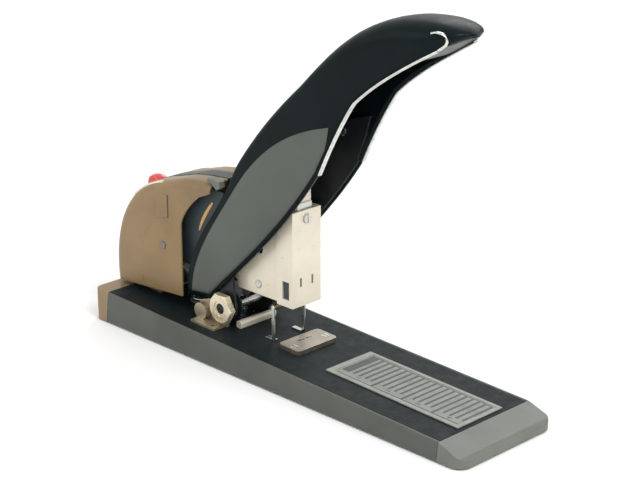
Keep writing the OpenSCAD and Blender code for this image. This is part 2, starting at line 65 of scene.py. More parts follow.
# ---------------------------------------------------------------- materials
def noise(tree, vector, scale, detail=4.0, roughness=0.55):
    node = tree.nodes.new("ShaderNodeTexNoise")
    node.inputs["Scale"].default_value = scale
    node.inputs["Detail"].default_value = detail
    node.inputs["Roughness"].default_value = roughness
    tree.links.new(vector, node.inputs["Vector"])
    return node.outputs["Fac"]


def spread(tree, value, low, high, to_low, to_high):
    node = tree.nodes.new("ShaderNodeMapRange")
    for name, number in (("From Min", low), ("From Max", high), ("To Min", to_low), ("To Max", to_high)):
        node.inputs[name].default_value = number
    tree.links.new(value, node.inputs["Value"])
    return node.outputs["Result"]


def mixed(tree, factor, first, second):
    """A colour between first and second, each a colour or a socket."""
    node = tree.nodes.new("ShaderNodeMix")
    node.data_type = "RGBA"
    tree.links.new(factor, node.inputs["Factor"])
    for value, socket in ((first, node.inputs[6]), (second, node.inputs[7])):
        if isinstance(value, (tuple, list)):
            socket.default_value = (*value, 1.0)
        else:
            tree.links.new(value, socket)
    return node.outputs[2]


def material(name, dark, light, rough, metallic=0.0, patch=35.0, grain=1500.0, depth=0.02, strength=0.3,
             stretch=(1, 1, 1), coat=0.0, worn=None, worn_rough=0.3, specks=None, specular=0.5):
    """Two tones in soft patches, uneven roughness, fine grain, and worn edges where worn gives a colour."""
    mat = bpy.data.materials.new(name)
    mat.use_nodes = True
    tree = mat.node_tree
    shader = tree.nodes["Principled BSDF"]
    coords = tree.nodes.new("ShaderNodeTexCoord")
    mapping = tree.nodes.new("ShaderNodeMapping")
    mapping.inputs["Scale"].default_value = stretch
    tree.links.new(coords.outputs["Object"], mapping.inputs["Vector"])
    place = mapping.outputs["Vector"]
    patches = spread(tree, noise(tree, place, patch), 0.32, 0.68, 0.0, 1.0)
    colour = mixed(tree, patches, dark, light)
    if specks:
        dots = spread(tree, noise(tree, place, grain * 0.45, 2.0), 0.6, 0.7, 0.0, 1.0)
        colour = mixed(tree, dots, colour, specks)
    smear = noise(tree, coords.outputs["Object"], patch * 4.0, 6.0, 0.65)
    roughness = spread(tree, smear, 0.3, 0.7, rough[0], rough[1])
    if worn:
        bevel = tree.nodes.new("ShaderNodeBevel")
        bevel.samples = 4
        bevel.inputs["Radius"].default_value = 0.7 * MM
        geometry = tree.nodes.new("ShaderNodeNewGeometry")
        dot = tree.nodes.new("ShaderNodeVectorMath")
        dot.operation = "DOT_PRODUCT"
        tree.links.new(bevel.outputs["Normal"], dot.inputs[0])
        tree.links.new(geometry.outputs["Normal"], dot.inputs[1])
        edge = spread(tree, dot.outputs["Value"], 0.97, 0.86, 0.0, 1.0)
        rubbed = tree.nodes.new("ShaderNodeMath")
        rubbed.operation = "MULTIPLY"
        tree.links.new(edge, rubbed.inputs[0])
        tree.links.new(spread(tree, noise(tree, place, 260.0, 5.0), 0.45, 0.62, 0.0, 0.85), rubbed.inputs[1])
        colour = mixed(tree, rubbed.outputs["Value"], colour, worn)
        blend = tree.nodes.new("ShaderNodeMix")
        tree.links.new(rubbed.outputs["Value"], blend.inputs["Factor"])
        tree.links.new(roughness, blend.inputs[2])
        blend.inputs[3].default_value = worn_rough
        roughness = blend.outputs[0]
    tree.links.new(colour, shader.inputs["Base Color"])
    tree.links.new(roughness, shader.inputs["Roughness"])
    bump = tree.nodes.new("ShaderNodeBump")
    bump.inputs["Strength"].default_value = strength
    bump.inputs["Distance"].default_value = depth * MM
    tree.links.new(noise(tree, place, grain, 3.0), bump.inputs["Height"])
    tree.links.new(bump.outputs["Normal"], shader.inputs["Normal"])
    shader.inputs["Metallic"].default_value = metallic
    shader.inputs["Specular IOR Level"].default_value = specular
    shader.inputs["Coat Weight"].default_value = coat
    shader.inputs["Coat Roughness"].default_value = 0.08
    return mat


BRUSHED = (1, 1, 14)
MATERIALS = {
    "rail_grey": material("rail_grey", (0.052, 0.06, 0.048), (0.078, 0.087, 0.071), (0.42, 0.58), grain=2600,
                          depth=0.03, strength=0.4, worn=(0.2, 0.21, 0.19)),
    "cap_grey": material("cap_grey", (0.105, 0.113, 0.096), (0.15, 0.158, 0.138), (0.34, 0.5), grain=2600,
                         depth=0.03, strength=0.4, worn=(0.33, 0.33, 0.3)),
    "cap_bronze": material("cap_bronze", (0.19, 0.12, 0.055), (0.27, 0.18, 0.085), (0.3, 0.45), coat=0.2,
                           worn=(0.5, 0.4, 0.25)),
    "deck_black": material("deck_black", (0.003, 0.007, 0.0078), (0.0065, 0.0125, 0.0135), (0.5, 0.68),
                           grain=2200, depth=0.06, strength=0.7, specks=(0.014, 0.022, 0.024), specular=0.2),
    "sheet_steel": material("sheet_steel", (0.16, 0.16, 0.155), (0.26, 0.255, 0.24), (0.34, 0.5),
                            metallic=0.8, stretch=BRUSHED, worn=(0.6, 0.58, 0.54)),
    "rubber": material("rubber", (0.014, 0.014, 0.014), (0.03, 0.03, 0.03), (0.7, 0.85), grain=1200,
                       depth=0.08, strength=0.6),
    "bright_steel": material("bright_steel", (0.45, 0.45, 0.44), (0.64, 0.63, 0.6), (0.2, 0.36), metallic=1.0,
                             stretch=BRUSHED, depth=0.01),
    "spring_steel": material("spring_steel", (0.36, 0.36, 0.36), (0.55, 0.55, 0.54), (0.2, 0.34),
                             metallic=1.0, patch=120),
    "anvil_nickel": material("anvil_nickel", (0.3, 0.265, 0.21), (0.42, 0.37, 0.3), (0.28, 0.4), metallic=0.9,
                             patch=60, worn=(0.8, 0.76, 0.7)),
    "scale_grey": material("scale_grey", (0.15, 0.16, 0.14), (0.21, 0.22, 0.195), (0.36, 0.5), metallic=0.2,
                           stretch=(1, 10, 1), worn=(0.5, 0.5, 0.46)),
    "bracket_black": material("bracket_black", (0.006, 0.008, 0.01), (0.012, 0.016, 0.018), (0.35, 0.5),
                              worn=(0.12, 0.12, 0.12), specular=0.3),
    "ear_zinc": material("ear_zinc", (0.36, 0.31, 0.21), (0.5, 0.44, 0.3), (0.28, 0.42), metallic=0.7,
                         patch=90, worn=(0.75, 0.7, 0.55)),
    "nut_brass": material("nut_brass", (0.62, 0.54, 0.38), (0.8, 0.72, 0.54), (0.22, 0.36), metallic=0.65,
                          patch=120, worn=(0.95, 0.9, 0.76)),
    "head_cream": material("head_cream", (0.68, 0.62, 0.49), (0.76, 0.7, 0.57), (0.26, 0.4), metallic=0.25,
                           patch=45, worn=(0.9, 0.86, 0.76)),
    "cover_bronze": material("cover_bronze", (0.165, 0.112, 0.054), (0.285, 0.186, 0.086), (0.26, 0.4),
                             patch=17, grain=900, depth=0.02, strength=0.15, specular=0.35,
                             worn=(0.5, 0.4, 0.24)),
    "spine_black": material("spine_black", (0.01, 0.01, 0.01), (0.022, 0.021, 0.02), (0.3, 0.45),
                            worn=(0.12, 0.11, 0.1)),
    "shroud_dark": material("shroud_dark", (0.024, 0.036, 0.042), (0.045, 0.06, 0.066), (0.4, 0.55),
                            worn=(0.12, 0.14, 0.14), specular=0.3),
    "red_plastic": material("red_plastic", (0.55, 0.03, 0.02), (0.72, 0.06, 0.035), (0.16, 0.26), coat=0.6,
                            worn=(0.85, 0.2, 0.12)),
    "handle_black": material("handle_black", (0.0012, 0.0042, 0.0048), (0.0036, 0.0092, 0.0102), (0.28, 0.4),
                             patch=18, grain=700, depth=0.02, strength=0.12, specular=0.09),
    "leaf_grey": material("leaf_grey", (0.056, 0.066, 0.054), (0.088, 0.1, 0.083), (0.4, 0.55), patch=16,
                          grain=2400, depth=0.04, strength=0.5, worn=(0.16, 0.17, 0.15), specular=0.4),
    "core_bright": material("core_bright", (0.55, 0.55, 0.52), (0.76, 0.75, 0.71), (0.18, 0.3), metallic=0.9,
                            patch=80, stretch=(1, 1, 4)),
}
PRINT_LIGHT = material("print_light", (0.19, 0.2, 0.175), (0.27, 0.28, 0.25), (0.4, 0.55), patch=200)
PRINT_DARK = material("print_dark", (0.02, 0.024, 0.024), (0.035, 0.04, 0.04), (0.35, 0.5), patch=200)
RIVET = material("rivet_dull", (0.16, 0.15, 0.13), (0.26, 0.24, 0.2), (0.4, 0.55), metallic=0.7, patch=300)
AMBER = material("amber", (0.42, 0.23, 0.05), (0.62, 0.36, 0.09), (0.18, 0.3), patch=150, coat=0.4)


# ---------------------------------------------------------------- mesh helpers
def piece(name, bm, slot, body, *nodes, look=None, smooth=35.0):
    """Makes an object from a mesh in metres, rides it on a body and lets it stand for CAD nodes."""
    mesh = bpy.data.meshes.new(name)
    bm.to_mesh(mesh)
    bm.free()
    mesh.shade_smooth()
    mesh.set_sharp_from_angle(angle=math.radians(smooth))
    obj = bpy.data.objects.new(name, mesh)
    bpy.context.scene.collection.objects.link(obj)
    mesh.materials.append(look or MATERIALS[slot])
    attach(obj, body)
    if nodes:
        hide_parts(*nodes)
    return obj


def modifier(obj, kind, **settings):
    """Adds a modifier with its settings."""
    mod = obj.modifiers.new(kind.title(), kind)
    for key, value in settings.items():
        setattr(mod, key, value)


def edged(obj, width, segments=2, angle=30.0):
    """Rounds the edges of a flat-sided piece."""
    modifier(obj, "WELD", merge_threshold=0.002 * MM)
    modifier(obj, "DECIMATE", decimate_type="DISSOLVE", angle_limit=math.radians(0.6))
    modifier(obj, "BEVEL", width=width * MM, segments=segments, limit_method="ANGLE",
             angle_limit=math.radians(angle), harden_normals=False, miter_outer="MITER_ARC")
    modifier(obj, "WEIGHTED_NORMAL", keep_sharp=True, weight=60)


def bezier(a, b, c, d, n):
    """n + 1 points along a curve from a to d."""
    a, b, c, d = (Vector(p) for p in (a, b, c, d))
    steps = [i / n for i in range(n + 1)]
    return [(1 - t) ** 3 * a + 3 * (1 - t) ** 2 * t * b + 3 * (1 - t) * t * t * c + t ** 3 * d for t in steps]


def joined(*lines):
    """Lines in a row as one, without the points that repeat."""
    out = []
    for point in (Vector(p) for line in lines for p in line):
        if not out or (point - out[-1]).length > 0.01:
            out.append(point)
    return out


def spaced(line, count):
    """The same line with count points at even distances."""
    lengths = [0.0]
    for a, b in zip(line, line[1:]):
        lengths.append(lengths[-1] + (b - a).length)
    out, k = [], 0
    for i in range(count):
        want = lengths[-1] * i / (count - 1)
        while k < len(line) - 2 and lengths[k + 1] < want:
            k += 1
        out.append(line[k].lerp(line[k + 1], (want - lengths[k]) / (lengths[k + 1] - lengths[k])))
    return out


def moved(line, distance):
    """A line moved sideways, to the right of its own direction."""
    out = []
    for i, point in enumerate(line):
        way = (line[min(i + 1, len(line) - 1)] - line[max(i - 1, 0)]).normalized()
        out.append(point + distance * Vector((way.y, -way.x)))
    return out


def ease(x, low, high):
    """Goes smoothly from 0 at low to 1 at high."""
    t = min(1.0, max(0.0, (x - low) / (high - low)))
    return t * t * (3 - 2 * t)


def at(x, y, z):
    """A place given in millimetres, in metres."""
    return Vector((x, y, z)) * MM


def on_side(point, y):
    """A point of the side view, placed at y across the width, in metres."""
    return at(point.x, y, point.y)


def band(sign, inner, outer):
    """The low and high y of a strip between two distances from the middle plane."""
    return sorted((sign * inner, sign * outer))


def solid_side(bm, outline, y0, y1):
    """A side view given as points, filled and spread across the width from y0 to y1."""
    start = [bm.verts.new(on_side(Vector(p), y0)) for p in outline]
    end = [bm.verts.new(on_side(Vector(p), y1)) for p in outline]
    bm.faces.new(start)
    bm.faces.new(reversed(end))
    for i in range(len(outline)):
        k = (i + 1) % len(outline)
        bm.faces.new((start[k], start[i], end[i], end[k]))
    bmesh.ops.recalc_face_normals(bm, faces=bm.faces)


def box(bm, low, high):
    """A block between two corners, for the start of a shaped piece."""
    for v in bmesh.ops.create_cube(bm, size=1.0)["verts"]:
        v.co = Vector([lo + (hi - lo) * (c + 0.5) for lo, hi, c in zip(low, high, v.co)]) * MM


def loft(bm, rows, closed=False):
    """Joins rows of vertices with faces; closed also joins each row's end to its start."""
    for a, b in zip(rows, rows[1:]):
        for k in range(len(a) if closed else len(a) - 1):
            n = (k + 1) % len(a)
            bm.faces.new((a[k], a[n], b[n], b[k]))


def mirrored(bm):
    """Flips a near-side mesh to the far side."""
    for v in bm.verts:
        v.co.y = -v.co.y
    bmesh.ops.reverse_faces(bm, faces=bm.faces)


# ---------------------------------------------------------------- CAD nodes that stay
EDGE = {
    "side_rail_near": 0.6, "side_rail_far": 0.6, "rear_end_cap": 1.6, "deck_mat": 0.4, "rubber_feet": 0.4,
    "anvil_plate": 0.5, "stop_bar": 0.4, "nose_plate": 0.35, "head_plate_near": 0.3, "head_plate_far": 0.3,
    "magazine_channel": 0.25, "main_bracket": 0.25, "guide_posts": 0.25, "pivot_ear_near": 0.5,
    "pivot_ear_far": 0.5, "axle_nut_near": 0.4, "axle_nut_far": 0.4, "handle_stop": 0.5, "ram_block": 0.5,
    "arm_near": 0.3, "arm_far": 0.3, "rear_hinge_bracket": 0.3, "cover_spine": 0.35,
    "shroud_near": 0.2, "shroud_far": 0.2, "head_rivets": 0.4, "cover_screws": 0.35, "nose_screw": 0.25,
    "follower_block": 0.4, "handle_rivets": 0.3, "main_axle": 0.4, "cam_plate": 0.3, "front_end_cap": 2.2,
}
OWN_LOOK = {"cover_screws": RIVET}
for node, obj in frame["nodes"].items():
    obj.data.materials.clear()
    obj.data.materials.append(OWN_LOOK.get(node, MATERIALS[SLOT_OF[node]]))
    if node in EDGE:
        edged(obj, EDGE[node], segments=4 if EDGE[node] > 1 else 2)


# ---------------------------------------------------------------- lever handle
HALF = 20.0
SHELL_WALL = 2.1
BACK = joined(bezier((-92.5, 31), (-94, 44), (-91, 56), (-81.5, 72), 10),
              bezier((-81.5, 72), (-73, 87), (-55, 106), (-48, 125), 10),
              bezier((-48, 125), (-42, 138), (-20, 166), (11, 194), 12))
TOP = joined(bezier((11, 194), (32, 216), (55, 242.7), (97, 246), 16),
             bezier((97, 246), (110, 247.4), (124, 247.5), (132.4, 241), 12))
RIM_LOW = bezier((28, 141), (6, 109), (-26, 76), (-57, 48), 16)
RIM_BACK = joined([(-71, 34.5)], reversed(RIM_LOW))
RIM_TOP = joined(reversed(bezier((56, 190.5), (47, 178), (37, 160), (28, 141), 10)),
                 reversed(bezier((126, 238), (113, 228.5), (80, 213), (56, 190.5), 16)),
                 [(128.6, 238.4), (130.8, 239)])
LOW_STATIONS, TOP_STATIONS = 44, 46
WALL_STEPS, ARC_STEPS, TOP_STEPS = 8, 7, 10
# places along the handle, from 0 at the foot to 2 at the tip
WEB_START = 0.555
CLOSED_FROM = 1.74
TAPER_START, TAPER_LENGTH = 1.7, 0.3


def grip_half(g):
    """Half width of the handle at the place g."""
    return HALF * max(0.0, 1 - max(0.0, (g - TAPER_START) / TAPER_LENGTH) ** 3.0) ** 0.45 + 0.02


def handle_section(outer, inner, g):
    """Half a section of the handle, from the middle of its top round to the near rim, as (y, depth)."""
    h = (inner - outer).length
    half = grip_half(g)
    # how far the top falls to its edges, the edge radii across and down, and how far the wall leans in
    crown = 3.2 * ease(g, 0.55, 1.3) * half / HALF
    r_y = min(0.6 + 4.0 * ease(g, 0.4, 0.7) + 8.5 * ease(g, 1.0, 1.5), half * 0.8)
    r_t = min(0.6 + 4.0 * ease(g, 0.4, 0.7) + 7.0 * ease(g, 1.0, 1.5), h * 0.5)
    belly = 1.1 * ease(g, 0.95, 1.3)
    points = []
    for i in range(TOP_STEPS):
        y = (half - r_y) * i / TOP_STEPS
        points.append((y, crown * (y / half) ** 2))
    edge = crown * ((half - r_y) / half) ** 2
    for i in range(ARC_STEPS):
        a = math.pi / 2 * i / ARC_STEPS
        points.append((half - r_y + r_y * math.sin(a), edge + r_t * (1 - math.cos(a))))
    for i in range(WALL_STEPS + 1):
        v = i / WALL_STEPS
        points.append((half - belly * v * v, edge + r_t + (h - edge - r_t) * v))
    return points


def build_handle():
    """The black shell: sections from foot to tip, open behind at the foot and closed below at the tip."""
    outers = spaced(BACK, LOW_STATIONS)[:-1] + spaced(TOP, TOP_STATIONS)
    inners = spaced(RIM_BACK, LOW_STATIONS)[:-1] + spaced(RIM_TOP, TOP_STATIONS)
    bm = bmesh.new()
    rows, tail = [], []
    for i, (outer, inner) in enumerate(zip(outers, inners)):
        if i < LOW_STATIONS:
            g = i / (LOW_STATIONS - 1)
        else:
            g = 1 + (i - LOW_STATIONS + 1) / (TOP_STATIONS - 1)
        down = (inner - outer).normalized()
        half = handle_section(outer, inner, g)
        row = [(-y, t) for y, t in reversed(half)] + half[1:]
        rows.append([bm.verts.new(on_side(outer + down * t, y)) for y, t in row])
        tail.append(g)
    width = len(rows[0])
    middle = range(WALL_STEPS + ARC_STEPS, width - 1 - WALL_STEPS - ARC_STEPS)
    for i in range(len(rows) - 1):
        for k in range(width - 1):
            if k in middle and tail[i] < WEB_START:
                continue
            bm.faces.new((rows[i][k], rows[i][k + 1], rows[i + 1][k + 1], rows[i + 1][k]))
    for i in range(len(rows) - 1):
        if tail[i] > CLOSED_FROM:
            bm.faces.new((rows[i][0], rows[i + 1][0], rows[i + 1][-1], rows[i][-1]))
    bmesh.ops.remove_doubles(bm, verts=bm.verts, dist=0.02 * MM)
    bmesh.ops.recalc_face_normals(bm, faces=bm.faces)
    top = max(bm.faces, key=lambda f: f.calc_center_median().z)
    if top.normal.z < 0:
        bmesh.ops.reverse_faces(bm, faces=bm.faces)
    shell = piece("handle_shell_moulding", bm, "handle_black", "handle", "handle_shell", smooth=50)
    modifier(shell, "SOLIDIFY", thickness=SHELL_WALL * MM, offset=-1.0, use_even_offset=True)


build_handle()

LEAF_ROWS = 80
LEAF_UPPER = joined(bezier((-88.5, 35), (-88, 58), (-70, 82), (-51, 108), 24),
                    bezier((-51, 108), (-36, 129), (-14, 159), (37, 172), 28))
LEAF_LOWER = joined([(-88.5, 35), (-71, 37.3)], reversed(moved(RIM_LOW, 2.5)),
                    [(27, 145), (30, 150.5), (34, 158), (35.8, 165), (37, 172)])
LEAF_STEPS = (0.0, 0.3, 0.8, 1.6, 3.2, 6.0)
LEAF_RISE, LEAF_ROUND, LEAF_SUNK = 1.15, 0.7, 0.1


def leaf_row(bm, upper, lower):
    """Vertices across the raised side panel, from its upper edge to its lower one."""
    chord = (lower - upper).length
    near = [min(d, chord / 2 * k / len(LEAF_STEPS)) for k, d in enumerate(LEAF_STEPS)]
    row = []
    for d in near + [chord / 2] + [chord - d for d in reversed(near)]:
        p = upper.lerp(lower, d / chord if chord > 0.001 else 0.0)
        rise = LEAF_RISE * (1 - math.exp(-min(d, chord - d) / LEAF_ROUND))
        row.append(bm.verts.new(on_side(p, LEAF_SUNK - HALF - rise)))
    return row


def build_leaf(side):
    """The grey panel on one side of the handle."""
    bm = bmesh.new()
    rows = [leaf_row(bm, u, v) for u, v in zip(spaced(LEAF_UPPER, LEAF_ROWS), spaced(LEAF_LOWER, LEAF_ROWS))]
    loft(bm, rows)
    bmesh.ops.remove_doubles(bm, verts=bm.verts, dist=0.01 * MM)
    bmesh.ops.recalc_face_normals(bm, faces=bm.faces)
    if max(bm.faces, key=lambda f: f.calc_area()).normal.y > 0:
        bmesh.ops.reverse_faces(bm, faces=bm.faces)
    if side == "far":
        mirrored(bm)
    piece("leaf_skin_" + side, bm, "leaf_grey", "handle", "leaf_panel_" + side, smooth=60)


for side in SIDES:
    build_leaf(side)


def sweep(bm, path, section):
    """Joins copies of a closed section, given as (y, out) at each step, along a side-view path."""
    rings = []
    for i, p in enumerate(path):
        way = (path[min(i + 1, len(path) - 1)] - path[max(i - 1, 0)]).normalized()
        out = Vector((-way.y, way.x))
        rings.append([bm.verts.new(at(p.x + out.x * n, y, p.y + out.y * n)) for y, n in section(i)])
    loft(bm, rings, closed=True)
    bm.faces.new(rings[0])
    bm.faces.new(list(reversed(rings[-1])))


def rounded_section(y0, y1, n0, n1, r):
    """A rectangle with round corners, as (y, out) points."""
    points = []
    corners = ((y1 - r, n1 - r, 0), (y0 + r, n1 - r, 90), (y0 + r, n0 + r, 180), (y1 - r, n0 + r, 270))
    for cy, cn, start in corners:
        for k in range(4):
            a = math.radians(start + 30 * k)
            points.append((cy + r * math.cos(a), cn + r * math.sin(a)))
    return points


TRIM_STATIONS, TRIM_END_X, TOP_SAMPLES = 70, 119, 91


def trim_band(sign, i):
    """Where the trim lies across the width at its station i."""
    half = grip_half(1 + i / (TRIM_STATIONS - 1))
    return band(sign, half - 2.7, half + 0.12)


def build_trim():
    """The bright trim along the lower edge of the grip, with a hooked front end."""
    rim = [p for p in spaced(RIM_TOP, TRIM_STATIONS) if p.x < TRIM_END_X]
    hook = [rim[-1]] + bezier(rim[-1], (122, 235.6), (124.4, 238.6), (121.4, 241.2), 9)[1:]
    hook += bezier((121.4, 241.2), (119.6, 242.6), (117, 242.6), (114.6, 241.6), 6)[1:]
    top = spaced(TOP, TOP_SAMPLES)
    nearest = [min(range(TOP_SAMPLES), key=lambda k: (top[k] - p).length) for p in hook]
    halves = [grip_half(1 + k / (TOP_SAMPLES - 1)) for k in nearest]
    bm = bmesh.new()
    for sign in (-1, 1):
        sweep(bm, rim, lambda i: rounded_section(*trim_band(sign, i), -1.3, -0.05, 0.45))
        sweep(bm, hook, lambda i: rounded_section(
            *band(sign, halves[i] - 2.4, halves[i] + 0.2), -0.9, 0.2, 0.4))
    bmesh.ops.recalc_face_normals(bm, faces=bm.faces)
    piece("rim_trim_strip", bm, "core_bright", "handle", "rim_trim", smooth=50)


build_trim()


# ---------------------------------------------------------------- cover
COVER_HALF, COVER_WALL, SHOULDER = 23.0, 1.5, 6.5
COVER_ROWS, SPINE_HALF, WALL_TOP = 50, 6.0, 103.5
COVER_LINE = joined(bezier((-163.5, 24), (-169, 70), (-146, 98), (-113, 105), 30),
                    [(-96, 110), (-88, 111.4), (-80, 112.4), (-73, 113)], [(-67, 113.4)])
COVER_FRONT = joined(bezier((-68, 109.5), (-78, 101.5), (-91, 92), (-95, 80), 14),
                     [(-95, 62), (-95, 45), (-95, 29.6)])


def build_cover(side):
    """One half of the bronze cover: a curved back with a round shoulder and a flat side wall."""
    line = spaced(COVER_LINE, COVER_ROWS)
    bm = bmesh.new()
    rows = []
    for i, point in enumerate(line):
        way = (line[min(i + 1, COVER_ROWS - 1)] - line[max(i - 1, 0)]).normalized()
        inward = Vector((way.y, -way.x))
        row = [(SPINE_HALF, 0.0), (10.0, 0.0), (COVER_HALF - SHOULDER, 0.0)]
        for k in range(1, 8):
            a = math.pi / 2 * k / 7
            row.append((COVER_HALF - SHOULDER * (1 - math.sin(a)), SHOULDER * (1 - math.cos(a))))
        rows.append([bm.verts.new(on_side(point + inward * t, -y)) for y, t in row])
    loft(bm, rows)
    edge = [row[-1] for row in rows]
    front = [bm.verts.new(on_side(p, -COVER_HALF)) for p in COVER_FRONT if p.y < WALL_TOP]
    bm.faces.new(edge + front)
    bmesh.ops.recalc_face_normals(bm, faces=bm.faces)
    wall = max(bm.faces, key=lambda f: f.calc_area())
    if wall.normal.y > 0:
        bmesh.ops.reverse_faces(bm, faces=bm.faces)
    bmesh.ops.triangulate(bm, faces=[wall])
    if side == "far":
        mirrored(bm)
    obj = piece("cover_moulding_" + side, bm, "cover_bronze", "head", "cover_" + side, smooth=40)
    modifier(obj, "SOLIDIFY", thickness=COVER_WALL * MM, offset=-1.0, use_even_offset=True)
    modifier(obj, "BEVEL", width=0.35 * MM, segments=2, limit_method="ANGLE", angle_limit=math.radians(50))


for side in SIDES:
    build_cover(side)


def swept_piece(name, path, section, slot, look=None):
    """A thin strip on the head, swept along a side-view path."""
    bm = bmesh.new()
    sweep(bm, path, section)
    bmesh.ops.recalc_face_normals(bm, faces=bm.faces)
    piece(name, bm, slot, "head", look=look)


def cover_tab(side, sign):
    """A low raised tab on the side wall, with a thin black strip at its front edge as painted shade of the
    groove there.
    """
    bm = bmesh.new()
    outline = [(-120, 79), (-120, 93.5), (-118, 95.2), (-108, 97), (-108, 81)]
    solid_side(bm, outline, *band(sign, COVER_HALF - 0.3, COVER_HALF + 0.4))
    edged(piece("cover_tab_" + side, bm, "cover_bronze", "head"), 0.3)
    # black strip along the tab's front edge: painted shade of the groove
    groove = [Vector((-107.2, 81)), Vector((-107.2, 97))]
    y0, y1 = band(sign, COVER_HALF - 0.3, COVER_HALF + 0.08)
    swept_piece("cover_groove_shade_" + side, groove,
                lambda i: rounded_section(y0, y1, -0.5, 0.5, 0.15), "spine_black")


def shoulder_strip(side, sign):
    """A painted highlight: a light cream strip along the cover's round shoulder, where light catches the
    edge.
    """
    path = [p for p in spaced(moved(COVER_LINE, 0.5), 60) if -146 < p.x < -114]
    y0, y1 = band(sign, COVER_HALF - 4.8, COVER_HALF - 2.4)
    # cream strip that paints the highlight on the shoulder's round edge
    swept_piece("shoulder_strip_" + side, path,
                lambda i: rounded_section(y0, y1, -1.1, 0.35, 0.4), "head_cream")


def amber_inlay(side, sign):
    """An amber sliver on the dark cheek, widest at its middle."""
    steps = 12
    path = bezier((-85, 76.5), (-82.5, 84), (-77, 92), (-71.5, 98.5), steps)
    widths = [1.3 * math.sin(0.5 + i / steps * 2.1) for i in range(steps + 1)]
    y0, y1 = band(sign, 15.1, 15.75)
    swept_piece("amber_inlay_" + side, path,
                lambda i: rounded_section(y0, y1, -widths[i], widths[i], 0.25), "cover_bronze", look=AMBER)


for side in SIDES:
    for detail in (cover_tab, shoulder_strip, amber_inlay):
        detail(side, SIDES[side])


DOME = 6.0


def build_button():
    """The release button: a rounded block with a domed top."""
    low, high = (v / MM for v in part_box("release_button"))
    bm = bmesh.new()
    box(bm, (low.x, low.y, low.z), (high.x, high.y, high.z))
    bmesh.ops.subdivide_edges(bm, edges=bm.edges, cuts=7, use_grid_fill=True)
    centre = (low + high) / 2
    for v in bm.verts:
        x, y, z = v.co / MM
        share = max(0.0, (z - (high.z - DOME)) / DOME)
        across = ((x - centre.x) / (high.x - low.x) * 2) ** 2 + ((y - centre.y) / (high.y - low.y) * 2) ** 2
        v.co.z -= 2.6 * MM * share * across / 2
        v.co.x = (centre.x + (x - centre.x) * (1 - 0.12 * share * share)) * MM
        v.co.y = (centre.y + (y - centre.y) * (1 - 0.12 * share * share)) * MM
    obj = piece("button_cap", bm, "red_plastic", "button", "release_button", smooth=70)
    modifier(obj, "BEVEL", width=0.8 * MM, segments=3, limit_method="ANGLE", angle_limit=math.radians(50))


build_button()


# ---------------------------------------------------------------- painted shade in the nose windows
def nose_window(side):
    """A dark box inside the window in the side of the nose: painted shade over the plate behind."""
    face = max(abs(corner.y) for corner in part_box("head_plate_" + side)) / MM
    y0, y1 = band(SIDES[side], face - 0.2, face + 0.2)
    bm = bmesh.new()
    box(bm, (-10.9, y0, 48.8), (-5.1, y1, 60.6))
    # dark box that paints the shade inside the window
    edged(piece("nose_window_" + side, bm, "shroud_dark", "head"), 0.1)


for side in SIDES:
    nose_window(side)


# ---------------------------------------------------------------- scale plate
BASE_LENGTH, DECK_REAR, DECK_FRONT = 330.0, 21.9, 12.3
DECK_MID = (DECK_REAR + DECK_FRONT) / 2
DECK_FALL = math.atan((DECK_REAR - DECK_FRONT) / BASE_LENGTH)
SCALE_X0, SCALE_X1, SCALE_HALF = 35.0, 143.0, 20.0
TICKS, TICK_STEP, TICK_WIDTH, TICKS_PER_NUMBER = 19, 4.9, 1.7, 5


def on_deck(x, y, z):
    """A point given on the sloping deck, in metres in the row frame."""
    return at(x * math.cos(DECK_FALL) + z * math.sin(DECK_FALL), y,
              DECK_MID - x * math.sin(DECK_FALL) + z * math.cos(DECK_FALL))


def deck_box(bm, low, high):
    """A low block on the deck, between two corners."""
    for v in bmesh.ops.create_cube(bm, size=1.0)["verts"]:
        v.co = on_deck(*[lo + (hi - lo) * (c + 0.5) for lo, hi, c in zip(low, high, v.co)])


def digit_meshes(bm, text, x, y, z, size):
    """A small raised number, turned to be read from the front end."""
    curve = bpy.data.curves.new("digit", "FONT")
    curve.body = text
    curve.size = size
    curve.extrude = 0.04
    curve.align_x = curve.align_y = "CENTER"
    obj = bpy.data.objects.new("digit", curve)
    mesh = bpy.data.meshes.new_from_object(obj)
    start = len(bm.verts)
    bm.from_mesh(mesh)
    bm.verts.ensure_lookup_table()
    for v in bm.verts[start:]:
        v.co = on_deck(x - v.co.y, y + v.co.x, z + v.co.z)
    bpy.data.objects.remove(obj)


def build_scale():
    """The paper scale: a grey plate, a light border and dark ticks and numbers."""
    x0, x1, half = SCALE_X0, SCALE_X1, SCALE_HALF
    bm = bmesh.new()
    deck_box(bm, (x0, -half, -0.05), (x1, half, 0.72))
    edged(piece("scale_base", bm, "scale_grey", "base", "scale_plate"), 0.3)
    bm = bmesh.new()
    for low, high in (((x0, -half), (x0 + 4.5, half)), ((x1 - 2.4, -half), (x1, half)),
                      ((x0 + 4, -half), (x1 - 2, 2.6 - half)), ((x0 + 4, half - 2.6), (x1 - 2, half))):
        deck_box(bm, (*low, 0.4), (*high, 0.98))
    edged(piece("scale_frame", bm, "scale_grey", "base", look=PRINT_LIGHT), 0.2)
    bm = bmesh.new()
    deck_box(bm, (x0 + 6, -11.5, 0.6), (x0 + 12, 15.5, 0.8))
    first = x0 + 14.5
    for i in range(TICKS):
        x = first + i * TICK_STEP
        longer = i % TICKS_PER_NUMBER == TICKS_PER_NUMBER - 1
        deck_box(bm, (x, -15.6 if longer else -11.0, 0.6), (x + TICK_WIDTH, 15.5, 0.8))
    for y in (-16.3, 15.9):
        deck_box(bm, (x0 + 6, y, 0.6), (x1 - 4, y + 0.5, 0.8))
    for n in range(1, 5):
        digit_meshes(bm, str(n), first + (n - 1) * TICKS_PER_NUMBER * TICK_STEP + 7.5, -13.4, 0.76, 4.6)
    piece("scale_print", bm, "scale_grey", "base", look=PRINT_DARK)


build_scale()


# ---------------------------------------------------------------- axle ends
AXLE_SIDES = 32


